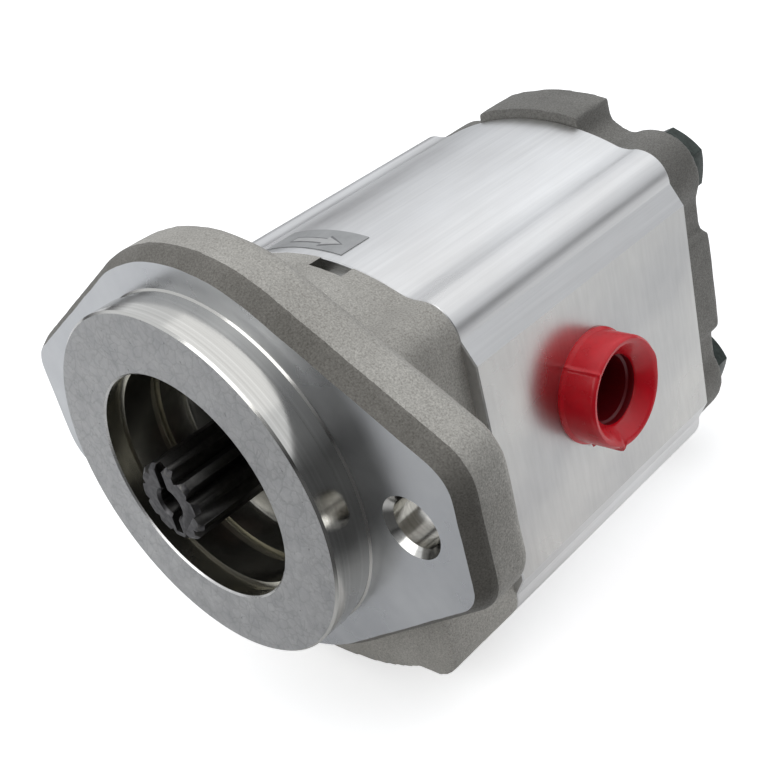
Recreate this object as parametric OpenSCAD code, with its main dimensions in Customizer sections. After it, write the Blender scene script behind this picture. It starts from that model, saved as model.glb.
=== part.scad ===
// Hydraulic external gear pump with a two-bolt pilot flange and a splined drive shaft.
//
// Frame: the drive shaft turns about Y. The origin is the centre of the pilot on the
// flange's mounting face (y = 0). The pilot and the spline point to -Y, the pump body
// runs to +Y, the ports open to +X (outlet) and -X (inlet), and Z points up.
// The driven gear lies straight below the drive gear. Lengths are in millimetres.

/* [Mounting flange] */
// Diameter of the locating pilot
pilot_d = 82.55; // [80:0.05:101.6]
// How far the pilot stands out of the mounting face
pilot_h = 10.3; // [6:0.1:12.7]
// Thickness of the flange
flange_t = 14; // [10:0.5:20]
// Width of the machined face outside the pilot
face_w = 5.2; // [3:0.1:8]
// From the pilot wall to the centre of a mounting bolt hole
hole_from_pilot = 11.925; // [11:0.005:16]
// Diameter of a mounting bolt hole
bolt_hole_d = 11.1; // [9:0.1:13.5]
// From a bolt hole's centre to the flat end of its ear
ear_end = 12; // [9:0.1:14]
// Height of the middle of an ear's corner above the shaft axis
ear_half_h = 9.5; // [8:0.1:14]
// Radius of an ear's corners
ear_corner_r = 8; // [5:0.5:9]
// How far the cast edge flares out behind the machined face
cast_flare = 2.5; // [1:0.1:3.5]

/* [Shaft recess and seals] */
// Diameter of the open recess around the spline
recess_d = 54; // [46:0.5:60]
// Depth of the recess, from the pilot's front face
recess_depth = 22.3; // [18:0.1:26]
// Outer diameter of a shaft seal
seal_od = 35; // [34:0.5:42]
// Width of a shaft seal
seal_w = 7; // [6:0.5:8]
// Thickness of the spacer between the two shaft seals
spacer_t = 1.5; // [1:0.1:3]

/* [Drive shaft] */
// Diameter of the shaft where it runs in its bushes and seals
journal_d = 22; // [18:0.5:23]
// How far the shaft's end stands in front of the pilot
shaft_proud = 5.7; // [2:0.1:30]
// Number of spline teeth
spline_teeth = 11; // [9:1:15]
// Major diameter of the spline
spline_d = 18.6; // [15:0.1:22]
// Depth of a spline tooth
spline_tooth_h = 2.1; // [1.5:0.1:2.5]
// Length of the spline
spline_l = 24; // [16:1:26]

/* [Gears] */
// Teeth on each gear
gear_teeth = 12; // [11:1:14]
// Gear module
gear_module = 2.6; // [2.5:0.05:3.2]
// Gap left between two gear flanks in mesh
backlash = 0.16; // [0.1:0.02:0.3]

/* [Pump body] */
// Length of the extruded body
body_l = 80; // [64:1:120]
// Metal left above and below the gear chamber
top_wall = 13.5; // [12:0.5:20]
// Metal left beside the gear chamber
side_wall = 21.6; // [20:0.1:28]
// How far a port face stands out from the side
port_pad = 3; // [1:0.5:6]
// Radius of the domed top and bottom
dome_r = 63; // [56:1:80]
// Radius of the body's four long corner lobes
lobe_r = 8.2; // [6:0.1:10]
// Length of the front cover behind the flange
cover_l = 22; // [18:1:30]
// Thickness of the rear cover
rear_t = 15; // [12:0.5:24]

/* [Ports] */
// Distance of the port axis from the front end of the body
port_from_front = 35.5; // [32:0.5:42]
// Height of the port axis above the middle of the body
port_rise = 3; // [0:0.5:5]
// Wall diameter of the outlet port's threads (G 3/4)
outlet_d = 24.12; // [18:0.01:26]
// Wall diameter of the inlet port's threads (G 1)
inlet_d = 30.3; // [24:0.1:32]
// Depth of a port's threaded bore below its port face
port_thread_l = 18; // [14:0.5:19]
// Diameter of the passage from the outlet's threads to the gears
outlet_passage_d = 18; // [12:0.5:20]
// Diameter of the passage from the inlet's threads to the gears
inlet_passage_d = 24; // [16:0.5:24]
// How far the outlet plug stands out of its port face
plug_proud = 9; // [6:0.5:14]

/* [Fasteners] */
// Diameter of a cover bolt
cover_bolt_d = 10; // [8:1:10]
// Width of a cover bolt's head across its flats
bolt_head_af = 16; // [13:1:17]
// Radius of the rear cover's bosses under the cover bolts
boss_r = 11.7; // [10:0.1:12.5]
// Diameter of a dowel pin
dowel_d = 6; // [4:0.5:6]

/* [Running clearances] */
// Radial clearance of a journal in its bush
journal_gap = 0.03; // [0.01:0.01:0.06]
// Radial clearance between the gear tips and the chamber
tip_gap = 0.1; // [0.05:0.01:0.2]
// Radial clearance of a bearing block in the chamber
block_gap = 0.05; // [0.02:0.01:0.08]
// Clearance at each end of the gears
end_gap = 0.05; // [0.02:0.01:0.1]
// Radial clearance of the plug in the outlet port
plug_gap = 0.06; // [0.02:0.01:0.1]

/* [Hidden] */
$fn = 96;

// Gears and the chamber they run in
pressure_angle = 25;
pitch_r = gear_teeth * gear_module / 2;
tip_r = pitch_r + gear_module;
root_r = pitch_r - 1.25 * gear_module;
base_r = pitch_r * cos(pressure_angle);
gear_pitch = 2 * pitch_r;
chamber_r = tip_r + tip_gap;
mid_z = -gear_pitch / 2;
flank_steps = 6;

// Stations along the shaft, from front to rear
pilot_y = -pilot_h;
recess_y = pilot_y + recess_depth;
body_y = flange_t + cover_l;
rear_y = body_y + body_l;
back_y = rear_y + rear_t;
block_l = 20;
gear_y0 = body_y + block_l + end_gap;
gear_y1 = rear_y - block_l - end_gap;

// Body and cover outline, measured from the middle of the body
half_w = chamber_r + side_wall;
half_h = gear_pitch / 2 + chamber_r + top_wall;
dome_z = half_h - dome_r;
pad_half_h = gear_pitch / 2 + 12;
lobe_x = half_w - lobe_r;
lobe_z = pad_half_h + 5.3;
bolt_x = half_w - 12.5;
bolt_z = pad_half_h + 1.2;
port_x = half_w + port_pad;
port_y = body_y + port_from_front;
port_z = mid_z + port_rise;

// Rear cover outline
rear_dome_half_w = 15.4;
rear_rise = 2.6;
scallop_r = 11.3;
scallop_x = rear_dome_half_w + 8.9;
scallop_z = bolt_z + boss_r + scallop_r - 1.4;
waist_depth = 2.3;
waist_half_h = pad_half_h / 2;

// Flange outline
bolt_spacing = pilot_d + 2 * hole_from_pilot;
face_r = pilot_d / 2 + face_w;
ear_x = bolt_spacing / 2 + ear_end;
corner_x = ear_x - ear_corner_r;
edge_angle = atan2(corner_x, ear_half_h) - acos((face_r - ear_corner_r) / norm([corner_x, ear_half_h]));
edge_n = [sin(edge_angle), cos(edge_angle)];
recess_mouth = 0.8;
recess_fillet = 1.5;
recess_grooves = [[2.5, 2.8, 1], [12.8, 2.6, 1.4]];
groove_taper = 0.5;
face_land = 1;
flare_run = 2.5;
back_round = 1.5;
hole_chamfer = 1.45;
pilot_chamfer = 1;

// Shaft, bushes and seals
journal_r = journal_d / 2;
bush_wall = 1.5;
bush_r = journal_r + bush_wall;
shaft_y = pilot_y - shaft_proud;
shoulder_y = shaft_y + spline_l + 2;
journal_chamfer = 1;
end_play = 0.5;
spline_r = spline_d / 2;
spline_root_r = spline_r - spline_tooth_h;
spline_chamfer = 1;
spline_phase = 6;
centre_hole_r = 3.4;
centre_hole_l = 12;
end_slot_w = 2.3;
end_slot_l = 2;
shaft_hole_r = journal_r + 1.5;
seal_r = seal_od / 2;
lip_r = journal_r + 0.05;
circlip_t = 1.2;
circlip_groove_w = 1.3;
circlip_groove_depth = 1.1;
circlip_y = recess_y + 1;
seal_y0 = circlip_y + circlip_groove_w + 0.2;
spacer_y = seal_y0 + seal_w;
seal_y1 = spacer_y + spacer_t;
seal_bore_end = seal_y1 + seal_w;
garter_r = journal_r + 3.15;
garter_wire_r = 0.6;

// Seals between the body, its covers and the bearing blocks
body_seal_r = chamber_r + 4;
body_seal_w = 2.2;
body_seal_depth = 2;
seal_side_gap = 0.1;
pressure_seal_r = chamber_r - 1.1;
seal_band = 1;
backup_band = pressure_seal_r - seal_band - bush_r - 1.6;
pressure_seal_depth = 2;
pressure_open_x = -6;
waist_clear = 9;

// Cover bolts and dowels
cover_bolt_r = cover_bolt_d / 2;
bolt_clear = 0.4;
thread_gap = 0.02;
thread_depth = cover_l - 4;
washer_t = 1.5;
washer_r = bolt_head_af / 2 + 1;
head_turns = [23.5, 8, 41, 52];
washer_recess = 0.5;
head_h = 0.64 * cover_bolt_d;
washer_y = back_y - washer_recess;
head_y = washer_y + washer_t;
bolt_tip_y = body_y - thread_depth + 2;
dowel_x = half_w - 6.5;
dowel_z = waist_half_h - 5.8;
dowel_half_l = 6;
dowel_gap = 0.01;

// Pry slot in the top of the front cover
pry_x = 4.4;
pry_w = 9.4;
pry_l = 3.8;
pry_depth = 2.2;

// Ports and plug
port_chamfer = 1.4;
spotface_r = inlet_d / 2 + 6.8;
spotface_depth = 0.5;
passage_x = port_x - port_thread_l;
plug_flange_r = outlet_d / 2 + 1.55;
plug_face_r = plug_flange_r - 0.7;
plug_mouth_r = 7.6;
plug_wall = 1.8;
plug_stem_l = port_thread_l - 4;
plug_stem_r = outlet_d / 2 - plug_gap;

// Rotation label on the body's dome
label_x0 = -17;
label_x1 = 8;
label_y0 = body_y + 2.6;
label_l = 9;
label_t = 0.2;

// ---------------------------------------------------------------- helpers

// Extrudes a flat outline, drawn with x to the right and z up, from y0 to y1.
module run_y(y0, y1) {
    translate([0, y1, 0]) rotate([90, 0, 0]) linear_extrude(y1 - y0) children();
}

// A round bar along Y, from y0 to y1.
module rod_y(r, y0, y1, x = 0, z = 0) {
    translate([x, y1, z]) rotate([90, 0, 0]) cylinder(h = y1 - y0, r = r);
}

// A cone along Y whose radius goes from r0 at y0 to r1 at y1.
module cone_y(r0, r1, y0, y1, x = 0, z = 0) {
    translate([x, y1, z]) rotate([90, 0, 0]) cylinder(h = y1 - y0, r1 = r1, r2 = r0);
}

// Turns a profile of [radius, y] points about the Y axis at height z.
module turn_y(profile, z = 0) {
    translate([0, 0, z]) rotate([-90, 0, 0]) rotate_extrude() polygon(profile);
}

// Turns a profile of [radius, x] points about the port axis, with x counted from x = 0.
module turn_port(profile) {
    translate([0, port_y, port_z]) rotate([0, 90, 0]) rotate_extrude() polygon(profile);
}

// Repeats its children at the four cover bolts.
module at_bolts() {
    for (sx = [-1, 1], sz = [-1, 1]) translate([sx * bolt_x, 0, mid_z + sz * bolt_z]) children();
}

// Repeats its children at the two dowels, which sit across a diagonal.
module at_dowels() {
    for (s = [-1, 1]) translate([s * dowel_x, 0, mid_z + s * dowel_z]) children();
}

// ---------------------------------------------------------------- outlines

// Lens between the two domes, cut off at a half width.
module dome_outline(half_width, rise = 0) {
    intersection() {
        translate([0, dome_z + rise]) circle(dome_r);
        translate([0, -dome_z - rise]) circle(dome_r);
        square([2 * half_width, 3 * half_h], center = true);
    }
}

// Round lobes along the four corners of the body.
module lobe_outline() {
    for (sx = [-1, 1], sz = [-1, 1]) translate([sx * lobe_x, sz * lobe_z]) circle(lobe_r);
}

// Section of the front cover and of the body between its port pads.
module section_outline() {
    translate([0, mid_z]) {
        dome_outline(lobe_x);
        lobe_outline();
        square([2 * half_w, 2 * lobe_z], center = true);
    }
}

// Section of the body with its two port pads and the slopes down from them.
module body_outline() {
    section_outline();
    translate([0, mid_z]) polygon([
        [port_x, pad_half_h], [half_w, lobe_z], [-half_w, lobe_z], [-port_x, pad_half_h],
        [-port_x, -pad_half_h], [-half_w, -lobe_z], [half_w, -lobe_z], [port_x, -pad_half_h]
    ]);
}

// Rear cover: a narrower dome, four bolt bosses, a scallop beside each and a waist on each side.
module rear_outline() {
    translate([0, mid_z]) {
        dome_outline(rear_dome_half_w, rear_rise);
        for (sx = [-1, 1], sz = [-1, 1]) translate([sx * bolt_x, sz * bolt_z]) circle(boss_r);
        difference() {
            square([2 * bolt_x, 2 * (bolt_z + boss_r)], center = true);
            for (sx = [-1, 1], sz = [-1, 1]) translate([sx * scallop_x, sz * scallop_z]) circle(scallop_r);
        }
        square([2 * (half_w - waist_depth), 2 * bolt_z], center = true);
        square([2 * half_w, 2 * waist_half_h], center = true);
    }
}

// Machined face of the flange: a disc and two ears joined by tangent edges.
module flange_outline() {
    circle(face_r);
    for (sx = [-1, 1]) scale([sx, 1]) {
        for (sz = [-1, 1]) translate([corner_x, sz * ear_half_h]) circle(ear_corner_r);
        polygon([
            face_r * edge_n, [corner_x, ear_half_h] + ear_corner_r * edge_n, [ear_x, ear_half_h],
            [ear_x, -ear_half_h], [corner_x, -ear_half_h] + ear_corner_r * [edge_n[0], -edge_n[1]],
            face_r * [edge_n[0], -edge_n[1]]
        ]);
    }
}

// Outline around both gear axes at a distance r.
module stadium_outline(r) {
    circle(r);
    translate([0, -gear_pitch]) circle(r);
    translate([-r, -gear_pitch]) square([2 * r, gear_pitch]);
}

// Two discs on the gear axes, like the figure eight of the gear chamber.
module eight_outline(r) {
    circle(r);
    translate([0, -gear_pitch]) circle(r);
}

// One band of the seal on a bearing block, open on the inlet side like a figure three.
module three_outline(r_out, r_in) {
    difference() {
        eight_outline(r_out);
        eight_outline(r_in);
        translate([pressure_open_x - 3 * pitch_r, mid_z]) square(6 * pitch_r, center = true);
        translate([-waist_clear, mid_z]) square(2 * waist_clear, center = true);
    }
}

// ---------------------------------------------------------------- front cover

// Stack of discs that gives the cast edge of the flange its flare and rounded back.
module flare_stack(r) {
    cone_y(r, r + cast_flare, face_land, face_land + flare_run);
    cone_y(r + cast_flare, r + cast_flare - back_round, flange_t - back_round, flange_t);
}

module flange_casting() {
    run_y(0, face_land) flange_outline();
    hull() {
        flare_stack(face_r);
        for (sx = [-1, 1], sz = [-1, 1])
            translate([sx * corner_x, 0, sz * ear_half_h]) flare_stack(ear_corner_r);
    }
}

module pilot_and_recess() {
    r = pilot_d / 2;
    turn_y([[0, flange_t], [0, pilot_y], [r - pilot_chamfer, pilot_y],
            [r, pilot_y + pilot_chamfer], [r, flange_t]]);
}

// Recess around the spline, with a chamfered mouth. Each of its turned grooves is given as
// [distance from the pilot's front, length, depth].
module recess_cut() {
    r = recess_d / 2;
    turn_y(concat(
        [[0, pilot_y - 1], [r + recess_mouth + 1, pilot_y - 1], [r + recess_mouth, pilot_y],
         [r, pilot_y + recess_mouth]],
        [for (g = recess_grooves) each [
            [r, pilot_y + g[0]], [r + g[2], pilot_y + g[0] + groove_taper],
            [r + g[2], pilot_y + g[0] + g[1] - groove_taper], [r, pilot_y + g[0] + g[1]]
        ]],
        [[r, recess_y - recess_fillet], [r - recess_fillet, recess_y], [0, recess_y]]
    ));
}

module seal_bore_cut() {
    rod_y(seal_r, recess_y - 1, seal_bore_end);
    cone_y(seal_r + 0.8, seal_r, recess_y, recess_y + 0.8);
    rod_y(seal_r + circlip_groove_depth, circlip_y, circlip_y + circlip_groove_w);
    rod_y(shaft_hole_r, seal_bore_end - 1, body_y + 1);
}

module mounting_hole_cuts() {
    for (s = [-1, 1]) {
        rod_y(bolt_hole_d / 2, -1, flange_t + 1, x = s * bolt_spacing / 2);
        cone_y(bolt_hole_d / 2 + hole_chamfer, bolt_hole_d / 2, 0, hole_chamfer, x = s * bolt_spacing / 2);
    }
}

module front_cover() {
    color("darkgray") difference() {
        union() {
            pilot_and_recess();
            flange_casting();
            run_y(flange_t - back_round, body_y) section_outline();
        }
        recess_cut();
        seal_bore_cut();
        mounting_hole_cuts();
        at_bolts() rod_y(cover_bolt_r + thread_gap, body_y - thread_depth, body_y + 1);
        at_dowels() rod_y(dowel_d / 2 + dowel_gap, body_y - dowel_half_l - 0.5, body_y + 1);
        body_seal_groove(body_y - body_seal_depth, body_y);
        translate([pry_x, body_y - pry_l, mid_z + half_h - pry_depth]) cube([pry_w, pry_l + 1, 10]);
    }
}

// ---------------------------------------------------------------- body and rear cover

// Groove for the seal between the body and a cover.
module body_seal_groove(y0, y1) {
    run_y(y0, y1) difference() {
        stadium_outline(body_seal_r + body_seal_w);
        stadium_outline(body_seal_r);
    }
}

// Passage from the gears, the wider threaded bore and the chamfer at its mouth.
module outlet_port_cut() {
    r = outlet_d / 2;
    turn_port([[0, 0], [outlet_passage_d / 2, 0], [outlet_passage_d / 2, passage_x], [r, passage_x],
               [r, port_x - port_chamfer], [r + port_chamfer, port_x], [r + port_chamfer, port_x + 1],
               [0, port_x + 1]]);
}

// The inlet is cut the same way, below a spotface for its fitting's seal.
module inlet_port_cut() {
    r = inlet_d / 2;
    face = port_x - spotface_depth;
    turn_port([[0, 0], [inlet_passage_d / 2, 0], [inlet_passage_d / 2, -passage_x], [r, -passage_x],
               [r, -face + port_chamfer], [r + port_chamfer, -face], [spotface_r, -face],
               [spotface_r, -port_x - 1], [0, -port_x - 1]]);
}

module pump_body() {
    color("silver") difference() {
        run_y(body_y, rear_y) body_outline();
        run_y(body_y - 1, rear_y + 1) eight_outline(chamber_r);
        outlet_port_cut();
        inlet_port_cut();
        at_bolts() rod_y(cover_bolt_r + bolt_clear, body_y - 1, rear_y + 1);
        at_dowels() {
            rod_y(dowel_d / 2 + dowel_gap, body_y - 1, body_y + dowel_half_l + 0.5);
            rod_y(dowel_d / 2 + dowel_gap, rear_y - dowel_half_l - 0.5, rear_y + 1);
        }
    }
}

module rear_cover() {
    color("gray") difference() {
        run_y(rear_y, back_y) rear_outline();
        at_bolts() {
            rod_y(cover_bolt_r + bolt_clear, rear_y - 1, back_y + 1);
            rod_y(washer_r + 0.4, washer_y, back_y + 1);
        }
        at_dowels() rod_y(dowel_d / 2 + dowel_gap, rear_y - 1, rear_y + dowel_half_l + 0.5);
        body_seal_groove(rear_y, rear_y + body_seal_depth);
    }
}

// ---------------------------------------------------------------- gears and shafts

// Polar angle of the flank, from the middle of its tooth, at radius r.
function roll_angle(r) = acos(min(1, base_r / r));
function inv_deg(a) = tan(a) * 180 / PI - a;
function flank_angle(r) =
    90 / gear_teeth + inv_deg(pressure_angle) - inv_deg(roll_angle(r)) - backlash / 4 / pitch_r * 180 / PI;
function polar(r, a) = [r * cos(a), r * sin(a)];
function flank_r(i) = base_r + (tip_r - base_r) * i / flank_steps;

module gear_outline() {
    circle(root_r);
    for (k = [0 : gear_teeth - 1]) rotate(360 / gear_teeth * k) polygon(concat(
        [polar(root_r - 1, -flank_angle(base_r))],
        [for (i = [0 : flank_steps]) polar(flank_r(i), -flank_angle(flank_r(i)))],
        [for (i = [flank_steps : -1 : 0]) polar(flank_r(i), flank_angle(flank_r(i)))],
        [polar(root_r - 1, flank_angle(base_r))]
    ));
}

// Spline of straight-sided teeth, chamfered at the shaft's end.
module spline() {
    half_tip = PI * spline_d / spline_teeth / 5.8;
    half_root = PI * spline_root_r / spline_teeth - 0.05;
    intersection() {
        run_y(shaft_y, shoulder_y) rotate(spline_phase) {
            circle(spline_root_r);
            for (k = [0 : spline_teeth - 1]) rotate(360 / spline_teeth * k) polygon([
                [spline_root_r - 1, -half_root], [spline_root_r, -half_root], [spline_r, -half_tip],
                [spline_r, half_tip], [spline_root_r, half_root], [spline_root_r - 1, half_root]
            ]);
        }
        turn_y([[0, shaft_y], [spline_r - spline_chamfer, shaft_y], [spline_r, shaft_y + spline_chamfer],
                [spline_r, shaft_y + spline_l - 2], [spline_root_r, shaft_y + spline_l],
                [0, shaft_y + spline_l]]);
    }
}

// A journal from y0 to y1, chamfered at both ends.
module journal(y0, y1) {
    turn_y([[0, y0], [journal_r - journal_chamfer, y0], [journal_r, y0 + journal_chamfer],
            [journal_r, y1 - journal_chamfer], [journal_r - journal_chamfer, y1], [0, y1]]);
}

module drive_gear_shaft() {
    color("dimgray") difference() {
        union() {
            spline();
            rod_y(spline_root_r, shaft_y + spline_l - 1, shoulder_y + 1);
            journal(shoulder_y, rear_y - end_play);
            run_y(gear_y0, gear_y1) rotate(-90) gear_outline();
        }
        rod_y(centre_hole_r, shaft_y - 1, shaft_y + centre_hole_l);
        cone_y(centre_hole_r + 0.6, centre_hole_r, shaft_y, shaft_y + 0.6);
        translate([-end_slot_w / 2, shaft_y - 1, -spline_root_r])
            cube([end_slot_w, end_slot_l + 1, spline_root_r + spline_r + 1]);
    }
}

module idler_gear_shaft() {
    color("dimgray") translate([0, 0, -gear_pitch]) {
        journal(body_y + end_play, rear_y - end_play);
        run_y(gear_y0, gear_y1) rotate(90 + 180 / gear_teeth) gear_outline();
    }
}

// ---------------------------------------------------------------- bearings

// Bearing block from y0 to y1. Its seal grooves are in the end that faces the cover.
module bearing_block(y0, y1, cover_end) {
    y_seal = cover_end == "front" ? y0 : y1 - pressure_seal_depth;
    y_relief = cover_end == "front" ? y1 - 1.5 : y0 - 1;
    difference() {
        run_y(y0, y1) eight_outline(chamber_r - block_gap);
        for (z = [0, -gear_pitch]) rod_y(bush_r, y0 - 1, y1 + 1, z = z);
        run_y(y_seal, y_seal + pressure_seal_depth)
            three_outline(pressure_seal_r, pressure_seal_r - seal_band - backup_band);
        for (s = [-1, 1]) translate([s * 7 - 3, y_relief, mid_z - 2.5]) cube([6, 2.5, 5]);
    }
}

module front_bearing_block() {
    color("goldenrod") bearing_block(body_y, body_y + block_l, "front");
}

module rear_bearing_block() {
    color("goldenrod") bearing_block(rear_y - block_l, rear_y, "rear");
}

// Plain bush around a journal, the length of its bearing block.
module bush(y0, z) {
    color("peru") turn_y([
        [journal_r + journal_gap, y0], [bush_r, y0],
        [bush_r, y0 + block_l], [journal_r + journal_gap, y0 + block_l]
    ], z);
}

module front_drive_bush() { bush(body_y, 0); }
module front_idler_bush() { bush(body_y, -gear_pitch); }
module rear_drive_bush() { bush(rear_y - block_l, 0); }
module rear_idler_bush() { bush(rear_y - block_l, -gear_pitch); }

// ---------------------------------------------------------------- seals

// Lip seal whose front face is at y0: an outer case, a front web and the sealing lip.
module shaft_seal(y0) {
    color([0.25, 0.12, 0.08]) turn_y([
        [seal_r, y0], [seal_r, y0 + seal_w], [seal_r - 1.6, y0 + seal_w], [seal_r - 1.6, y0 + 1.7],
        [journal_r + 3.2, y0 + 1.7], [journal_r + 2.2, y0 + seal_w - 0.9],
        [journal_r + 0.9, y0 + seal_w - 0.9],
        [lip_r, y0 + seal_w - 2.5], [journal_r + 0.9, y0 + seal_w - 4.3], [journal_r + 0.6, y0]
    ]);
}

module outer_shaft_seal() { shaft_seal(seal_y0); }
module inner_shaft_seal() { shaft_seal(seal_y1); }

module seal_garter_springs() {
    color("silver") for (y0 = [seal_y0, seal_y1])
        translate([0, y0 + seal_w - 1.9, 0]) rotate([-90, 0, 0])
            rotate_extrude() translate([garter_r, 0]) circle(garter_wire_r, $fn = 24);
}

module seal_spacer() {
    color("silver") turn_y([
        [shaft_hole_r, spacer_y], [seal_r - 0.1, spacer_y], [seal_r - 0.1, seal_y1], [shaft_hole_r, seal_y1]
    ]);
}

// Internal retaining ring with a gap and two eyes at the bottom.
module seal_circlip() {
    r_out = seal_r + circlip_groove_depth - 0.1;
    eye_r = 1.9;
    color("dimgray") run_y(circlip_y, circlip_y + circlip_t) difference() {
        union() {
            difference() {
                circle(r_out);
                circle(seal_r - 1.8);
                translate([-4, -r_out - 1]) square([8, r_out]);
            }
            for (s = [-1, 1]) translate([s * 5.2, -seal_r + 2.3]) circle(eye_r);
        }
        for (s = [-1, 1]) translate([s * 5.2, -seal_r + 2.3]) circle(0.9, $fn = 24);
    }
}

module body_seal(y0) {
    color([0.1, 0.1, 0.1]) run_y(y0, y0 + body_seal_depth) difference() {
        stadium_outline(body_seal_r + body_seal_w - seal_side_gap);
        stadium_outline(body_seal_r + seal_side_gap);
    }
}

module front_body_seal() { body_seal(body_y - body_seal_depth); }
module rear_body_seal() { body_seal(rear_y); }

// Rubber seal of a bearing block, the outer of the two bands in its groove.
module pressure_seal(y0) {
    color([0.1, 0.1, 0.1]) run_y(y0, y0 + pressure_seal_depth)
        three_outline(pressure_seal_r, pressure_seal_r - seal_band);
}

// Stiff plastic ring that backs the rubber seal from inside.
module backup_ring(y0) {
    color("ivory") run_y(y0, y0 + pressure_seal_depth)
        three_outline(pressure_seal_r - seal_band, pressure_seal_r - seal_band - backup_band);
}

module front_pressure_seal() { pressure_seal(body_y); }
module rear_pressure_seal() { pressure_seal(rear_y - pressure_seal_depth); }
module front_backup_ring() { backup_ring(body_y); }
module rear_backup_ring() { backup_ring(rear_y - pressure_seal_depth); }

// ---------------------------------------------------------------- fasteners

// Two dowel pins across the joint at y0.
module dowel_pair(y0) {
    color("silver") at_dowels() turn_y([
        [0, y0 - dowel_half_l], [dowel_d / 2 - 0.6, y0 - dowel_half_l],
        [dowel_d / 2, y0 - dowel_half_l + 0.6],
        [dowel_d / 2, y0 + dowel_half_l - 0.6], [dowel_d / 2 - 0.6, y0 + dowel_half_l], [0, y0 + dowel_half_l]
    ]);
}

module front_dowel_pins() { dowel_pair(body_y); }
module rear_dowel_pins() { dowel_pair(rear_y); }

// Cover bolts: plain shanks and chamfered hexagon heads, each turned its own way.
module cover_bolts() {
    corner_r = bolt_head_af / sqrt(3);
    color([0.12, 0.16, 0.14]) {
        at_bolts() turn_y([
            [0, bolt_tip_y], [cover_bolt_r - 1, bolt_tip_y], [cover_bolt_r, bolt_tip_y + 1],
            [cover_bolt_r, head_y + 1], [0, head_y + 1]
        ]);
        for (i = [0 : 3]) translate([(i < 2 ? 1 : -1) * bolt_x, 0, mid_z + (i % 2 == 0 ? 1 : -1) * bolt_z])
            intersection() {
                rotate([0, -head_turns[i], 0]) rod_y(corner_r, head_y, head_y + head_h, $fn = 6);
                turn_y([[0, head_y], [corner_r + 1, head_y], [corner_r + 1, head_y + head_h - 1.6],
                        [bolt_head_af / 2 - 0.4, head_y + head_h], [0, head_y + head_h]]);
            }
    }
}

module bolt_washers() {
    color([0.12, 0.16, 0.14]) at_bolts() turn_y([
        [cover_bolt_r + 0.2, washer_y], [washer_r, washer_y], [washer_r, head_y], [cover_bolt_r + 0.2, head_y]
    ]);
}

// ---------------------------------------------------------------- plug and label

// Push-in cap that closes the outlet port: a tapered collar outside, a funnel mouth
// and a hollow stem with a closed inner end.
module outlet_port_plug() {
    x0 = port_x;
    x1 = port_x + plug_proud;
    xs = port_x - plug_stem_l;
    color("crimson") turn_port([
        [0, xs], [plug_stem_r - 1, xs], [plug_stem_r, xs + 1.5], [plug_stem_r, x0 - 0.1],
        [plug_stem_r, x0], [plug_flange_r, x0], [plug_face_r, x1 - 0.6], [plug_face_r - 0.6, x1],
        [plug_face_r - 1.6, x1], [plug_mouth_r, x1 - 3.5],
        [plug_mouth_r - 0.5, xs + plug_wall], [0, xs + plug_wall]
    ]);
}

// Thin curved sticker on the dome, just behind the front cover.
module rotation_label() {
    color("lightgray") run_y(label_y0, label_y0 + label_l) intersection() {
        translate([0, mid_z + dome_z]) difference() {
            circle(dome_r + label_t);
            circle(dome_r);
        }
        translate([label_x0, mid_z]) square([label_x1 - label_x0, half_h + 1]);
    }
}

front_cover();
pump_body();
rear_cover();
drive_gear_shaft();
idler_gear_shaft();
front_bearing_block();
rear_bearing_block();
front_drive_bush();
front_idler_bush();
rear_drive_bush();
rear_idler_bush();
outer_shaft_seal();
inner_shaft_seal();
seal_garter_springs();
seal_spacer();
seal_circlip();
front_body_seal();
rear_body_seal();
front_pressure_seal();
rear_pressure_seal();
front_backup_ring();
rear_backup_ring();
front_dowel_pins();
rear_dowel_pins();
cover_bolts();
bolt_washers();
outlet_port_plug();
rotation_label();
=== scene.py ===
# %% [markdown]
# # A hydraulic gear pump, finished in Blender
# The pump's exact solids come first, as a fixed frame: every piece made here sits where those
# solids say. The drive shaft turns about Y, the flange faces -Y, and Z is up. The box around the
# solids is kept, and the floor is set at its lowest point.

# %% Load the frame
import math
import bmesh
import bpy
from mathutils import Matrix, Vector, noise


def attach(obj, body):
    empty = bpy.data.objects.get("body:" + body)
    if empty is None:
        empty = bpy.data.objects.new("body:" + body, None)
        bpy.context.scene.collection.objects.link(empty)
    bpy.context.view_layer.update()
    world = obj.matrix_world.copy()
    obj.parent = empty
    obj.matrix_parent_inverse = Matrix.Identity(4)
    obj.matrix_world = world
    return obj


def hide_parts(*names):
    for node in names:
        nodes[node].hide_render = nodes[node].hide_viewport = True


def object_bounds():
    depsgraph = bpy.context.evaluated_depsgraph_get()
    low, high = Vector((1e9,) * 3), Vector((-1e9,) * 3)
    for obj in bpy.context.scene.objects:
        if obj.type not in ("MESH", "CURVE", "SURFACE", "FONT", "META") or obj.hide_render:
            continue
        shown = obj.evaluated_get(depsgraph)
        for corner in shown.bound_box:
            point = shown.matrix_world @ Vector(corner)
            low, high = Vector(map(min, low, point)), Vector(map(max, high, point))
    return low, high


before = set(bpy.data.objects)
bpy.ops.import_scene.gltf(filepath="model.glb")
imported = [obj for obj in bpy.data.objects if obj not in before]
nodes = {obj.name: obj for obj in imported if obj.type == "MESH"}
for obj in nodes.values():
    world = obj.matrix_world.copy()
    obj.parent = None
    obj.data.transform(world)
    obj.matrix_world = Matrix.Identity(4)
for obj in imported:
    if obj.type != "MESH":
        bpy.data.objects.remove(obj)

cad_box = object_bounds()
scene = bpy.context.scene
MM = 0.001
print("solids loaded:", len(nodes))

# %% [markdown]
# The main sizes of the pump, in millimetres. The pieces below are drawn in millimetres because
# whole numbers are easy to read, and each is scaled to metres when it is finished. Heights of the
# body and covers are counted from the middle of the body, which lies between the two gear axes.

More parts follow.
